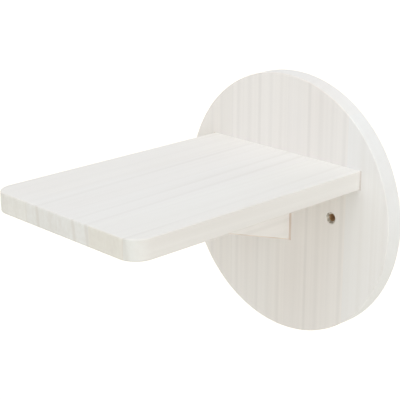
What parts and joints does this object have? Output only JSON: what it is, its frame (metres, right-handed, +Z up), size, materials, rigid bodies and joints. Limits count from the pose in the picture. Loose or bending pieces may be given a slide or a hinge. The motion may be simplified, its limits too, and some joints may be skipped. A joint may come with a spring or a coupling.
{
  "type": "cat wall shelf",
  "caption": "Round wooden wall plate with a rectangular step on a wedge gusset, white-glazed; it is screwed to a wall as a climbing step and perch for a cat.",
  "frame": {"origin": "centre of the wall plate's back face, on the wall", "axes": "+Y into the wall, +X to the right seen from the front, +Z up; the step points along -Y"},
  "size_m": [0.25, 0.282, 0.25],
  "materials": {
    "glazed_wood": "white glaze on solid softwood, matt, grain showing through",
    "zinc_steel": "zinc plated, satin",
    "beech_dowel": "bare, fluted"
  },
  "bodies": {
    "root": {"wall_disc": "glazed_wood", "shelf_board": "glazed_wood", "support_gusset": "glazed_wood", "shelf_screw_left": "zinc_steel", "shelf_screw_right": "zinc_steel", "gusset_screw_upper": "zinc_steel", "gusset_screw_lower": "zinc_steel", "shelf_dowel_left": "beech_dowel", "shelf_dowel_right": "beech_dowel", "gusset_dowel_rear": "beech_dowel", "gusset_dowel_front": "beech_dowel"}
  },
  "joints": []
}
